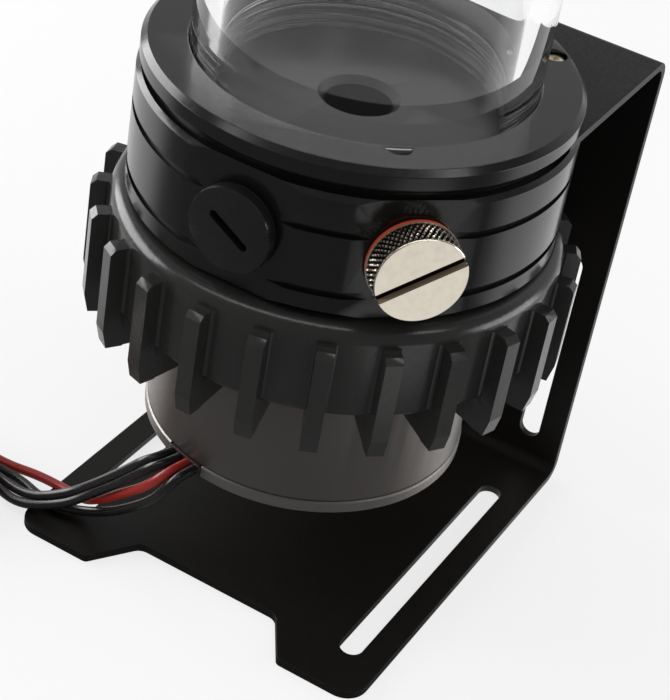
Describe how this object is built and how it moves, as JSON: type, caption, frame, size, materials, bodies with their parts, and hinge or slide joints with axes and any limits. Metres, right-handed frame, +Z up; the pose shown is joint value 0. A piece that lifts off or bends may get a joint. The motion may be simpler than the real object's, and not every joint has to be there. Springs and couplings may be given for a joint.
{
  "type": "coolant pump reservoir",
  "caption": "Clear tube reservoir on a black pump top with side ports, a finned union nut and a round motor, held by a folded slotted bracket.",
  "frame": {"origin": "on the pump axis, at the underside of the bracket's base", "axes": "+Z up along the pump axis, +Y towards the bracket's upright, +X along the base's front edge"},
  "size_m": [0.1335, 0.1338, 0.2572],
  "materials": {
    "black_sheet": "matte",
    "black_acetal": "satin",
    "black_moulding": "matte",
    "black_gloss": "gloss",
    "clear_acrylic": "clear",
    "nickel": "plated",
    "steel": "satin",
    "red_rubber": "satin",
    "black_rubber": "matte",
    "can_grey": "satin",
    "cover_grey": "satin",
    "grommet_plum": "matte",
    "lead_black": "gloss",
    "lead_red": "gloss",
    "ceramic": "gloss",
    "carbon": "matte",
    "magnet": "matte",
    "impeller_blue": "gloss",
    "laminations": "satin",
    "copper": "gloss",
    "board_green": "satin",
    "connector_white": "satin"
  },
  "bodies": {
    "base": {"bracket": "black_sheet", "lock_ring": "black_acetal", "ring_screws": "nickel", "reservoir_tube": "clear_acrylic", "tube_seal": "black_rubber", "pump_top": "black_acetal", "flange_seal": "black_rubber", "motor_can": "can_grey", "motor_cover": "cover_grey", "lead_grommet": "grommet_plum", "separating_bowl": "steel", "bearing_post": "steel", "bearing_ball": "ceramic", "stator_core": "laminations", "stator_windings": "copper", "control_board": "board_green", "top_cap": "black_acetal", "cap_collar": "black_acetal", "cap_screws": "nickel", "cap_seal": "black_rubber", "lead_coil": "lead_black", "lead_tie": "black_gloss", "power_connector": "connector_white", "signal_connector": "black_gloss", "lead_black_a": "lead_black", "tail_black_a": "lead_black", "lead_black_b": "lead_black", "tail_black_b": "lead_black", "lead_red": "lead_red", "tail_red": "lead_red", "lead_black_c": "lead_black", "tail_black_c": "lead_black"},
    "rotor": {"impeller": "impeller_blue", "rotor_magnet": "magnet", "bearing_cup": "carbon"},
    "nut": {"union_nut": "black_moulding"},
    "front_seal": {"front_plug_seal": "black_rubber"},
    "front_stopper": {"front_plug": "black_gloss"},
    "side_seal": {"side_plug_seal": "red_rubber"},
    "side_stopper": {"side_plug": "nickel"},
    "fill_seal": {"fill_plug_seal": "red_rubber"},
    "fill_stopper": {"fill_plug": "nickel"}
  },
  "joints": [
    {"name": "impeller_spin", "type": "hinge", "parent": "base", "child": "rotor", "pos_m": [0, 0, 0.0617], "axis": [0, 0, 1], "continuous": true},
    {"name": "nut_turn", "type": "hinge", "parent": "base", "child": "nut", "pos_m": [0, 0, 0.0617], "axis": [0, 0, -1], "range_deg": [0, 1080]},
    {"name": "front_plug_out", "type": "slide", "parent": "base", "child": "front_seal", "axis": [0, -1, 0], "range_m": [0, 0.00535]},
    {"name": "front_plug_turn", "type": "hinge", "parent": "front_seal", "child": "front_stopper", "pos_m": [0, -0.0369, 0.0843], "axis": [0, -1, 0], "range_deg": [0, 1442]},
    {"name": "side_plug_out", "type": "slide", "parent": "base", "child": "side_seal", "axis": [0.7071, -0.7071, 0], "range_m": [0, 0.00535]},
    {"name": "side_plug_turn", "type": "hinge", "parent": "side_seal", "child": "side_stopper", "pos_m": [0.02609, -0.02609, 0.0843], "axis": [0.7071, -0.7071, 0], "range_deg": [0, 1442]},
    {"name": "fill_plug_out", "type": "slide", "parent": "base", "child": "fill_seal", "axis": [0, 0, 1], "range_m": [0, 0.00535]},
    {"name": "fill_plug_turn", "type": "hinge", "parent": "fill_seal", "child": "fill_stopper", "pos_m": [-0.013, 0, 0.2511], "axis": [0, 0, 1], "range_deg": [0, 1442]}
  ],
  "couplings": [
    {"joint": "front_plug_turn", "follows": "front_plug_out", "rad_per_m": 4699.5},
    {"joint": "side_plug_turn", "follows": "side_plug_out", "rad_per_m": 4699.5},
    {"joint": "fill_plug_turn", "follows": "fill_plug_out", "rad_per_m": 4699.5}
  ]
}
